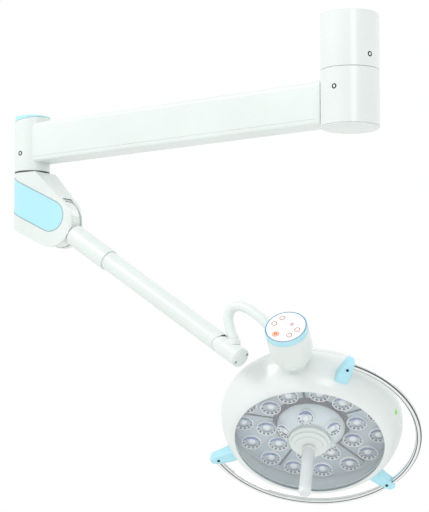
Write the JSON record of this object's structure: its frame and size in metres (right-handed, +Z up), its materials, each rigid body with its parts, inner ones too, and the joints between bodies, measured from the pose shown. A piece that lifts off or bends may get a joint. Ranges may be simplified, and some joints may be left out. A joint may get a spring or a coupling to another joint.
{
  "type": "ceiling mounted dental operating light",
  "caption": "Ceiling-hung operating light: a swivelling arm, a sprung arm and a bent neck carry a round lamp head with a hand rail, control pod and pull-off handle.",
  "frame": {"origin": "centre of the ceiling plate's top face", "axes": "+Z up along the column's swivel axis; at rest the horizontal arm points along -X and both arms lie in the plane Y = 0; -Y is the side the control panel and the light face"},
  "size_m": [1.0535, 0.4933, 1.0702],
  "materials": {
    "white": "smooth white paint-like plastic",
    "cover_white": "white powder coat",
    "pale_blue": "satin pale blue",
    "steel": "turned steel",
    "chrome": "polished",
    "dark": "dark, matt",
    "bronze": "plain bearing",
    "aluminium": "cast, blasted",
    "clear": "clear, smooth",
    "lens": "clear moulded lens plastic",
    "circuit": "dark board",
    "orange": "orange button cap",
    "panel": "white printed foil"
  },
  "bodies": {
    "ceiling": {"ceiling_plate": "steel", "ceiling_spindle": "steel", "upper_cover": "white", "upper_cover_screw": "dark"},
    "swing_arm": {"hub_housing": "white", "hub_screw": "dark", "hub_bottom_cap": "white", "arm_flange": "dark", "horizontal_arm": "cover_white", "arm_end_screw": "dark", "arm_end_cap": "pale_blue"},
    "knuckle": {"knuckle_spindle": "steel", "knuckle_washer": "dark", "knuckle_body": "aluminium", "front_cover": "cover_white", "rear_cover": "cover_white", "knuckle_trim": "pale_blue", "pivot_axle": "steel"},
    "spring_arm": {"arm_head": "cover_white", "arm_sleeve": "cover_white", "arm_tube": "cover_white", "balance_spring": "steel", "spring_rod": "steel", "levelling_rod": "steel", "end_fitting": "aluminium", "end_axle": "steel"},
    "level_block": {"end_block": "cover_white", "end_cap": "cover_white"},
    "neck": {"swivel_spigot": "cover_white", "neck_tube": "cover_white", "tilt_spindle": "steel"},
    "control_pod": {"pod_housing": "cover_white", "pod_ring": "pale_blue", "control_panel": "panel", "tilt_block": "aluminium", "turn_bearing": "bronze"},
    "lamp_head": {"front_housing": "white", "back_cover": "white", "clear_cover": "clear", "neck_collar": "dark", "head_spindle": "steel", "heat_sink": "aluminium", "led_board": "circuit", "lens_module_1": "lens", "lens_module_2": "lens", "lens_module_3": "lens", "lens_module_4": "lens", "lens_module_5": "lens", "centre_module": "lens", "handle_mount": "cover_white", "hand_rail": "chrome", "rail_bracket_1": "pale_blue", "rail_bracket_2": "pale_blue", "rail_bracket_3": "pale_blue"},
    "handle": {"sterile_handle": "clear"},
    "key_power": {"button_power": "orange"},
    "key_brighter": {"button_brighter": "panel"},
    "key_dimmer": {"button_dimmer": "panel"},
    "key_endo": {"button_endo": "panel"},
    "key_colour": {"button_colour": "panel"}
  },
  "joints": [
    {"name": "column_swivel", "type": "hinge", "parent": "ceiling", "child": "swing_arm", "pos_m": [0, 0, -0.19], "axis": [0, 0, 1], "range_deg": [-165, 165]},
    {"name": "knuckle_swivel", "type": "hinge", "parent": "swing_arm", "child": "knuckle", "pos_m": [-0.945, 0, -0.26], "axis": [0, 0, 1], "range_deg": [-165, 165]},
    {"name": "arm_lift", "type": "hinge", "parent": "knuckle", "child": "spring_arm", "pos_m": [-0.856, 0, -0.394], "axis": [0, 1, 0], "range_deg": [-28, 16]},
    {"name": "levelling", "type": "hinge", "parent": "spring_arm", "child": "level_block", "pos_m": [-0.3449, 0, -0.71586], "axis": [0, 1, 0], "range_deg": [-16, 28]},
    {"name": "neck_swivel", "type": "hinge", "parent": "level_block", "child": "neck", "pos_m": [-0.322, 0, -0.712], "axis": [0, 0, 1], "range_deg": [-90, 90]},
    {"name": "pod_tilt", "type": "hinge", "parent": "neck", "child": "control_pod", "pos_m": [-0.17, 0, -0.7], "axis": [0.9063, 0, -0.4226], "range_deg": [-10, 30]},
    {"name": "head_turn", "type": "hinge", "parent": "control_pod", "child": "lamp_head", "pos_m": [-0.18793, 0.04243, -0.73845], "axis": [0.2988, -0.7071, 0.6409], "range_deg": [-100, 100]},
    {"name": "handle_release", "type": "slide", "parent": "lamp_head", "child": "handle", "axis": [0.3068, -0.5647, -0.7661], "range_m": [0, 0.05]},
    {"name": "press_power", "type": "slide", "parent": "control_pod", "child": "key_power", "axis": [-0.2988, 0.7071, -0.6409], "range_m": [0, 0.0006], "stiffness_N_per_m": 1500, "springref_m": -0.0004},
    {"name": "press_brighter", "type": "slide", "parent": "control_pod", "child": "key_brighter", "axis": [-0.2988, 0.7071, -0.6409], "range_m": [0, 0.0006], "stiffness_N_per_m": 1500, "springref_m": -0.0004},
    {"name": "press_dimmer", "type": "slide", "parent": "control_pod", "child": "key_dimmer", "axis": [-0.2988, 0.7071, -0.6409], "range_m": [0, 0.0006], "stiffness_N_per_m": 1500, "springref_m": -0.0004},
    {"name": "press_endo", "type": "slide", "parent": "control_pod", "child": "key_endo", "axis": [-0.2988, 0.7071, -0.6409], "range_m": [0, 0.0006], "stiffness_N_per_m": 1500, "springref_m": -0.0004},
    {"name": "press_colour", "type": "slide", "parent": "control_pod", "child": "key_colour", "axis": [-0.2988, 0.7071, -0.6409], "range_m": [0, 0.0006], "stiffness_N_per_m": 1500, "springref_m": -0.0004}
  ],
  "couplings": [
    {"joint": "levelling", "follows": "arm_lift", "ratio": -1}
  ]
}
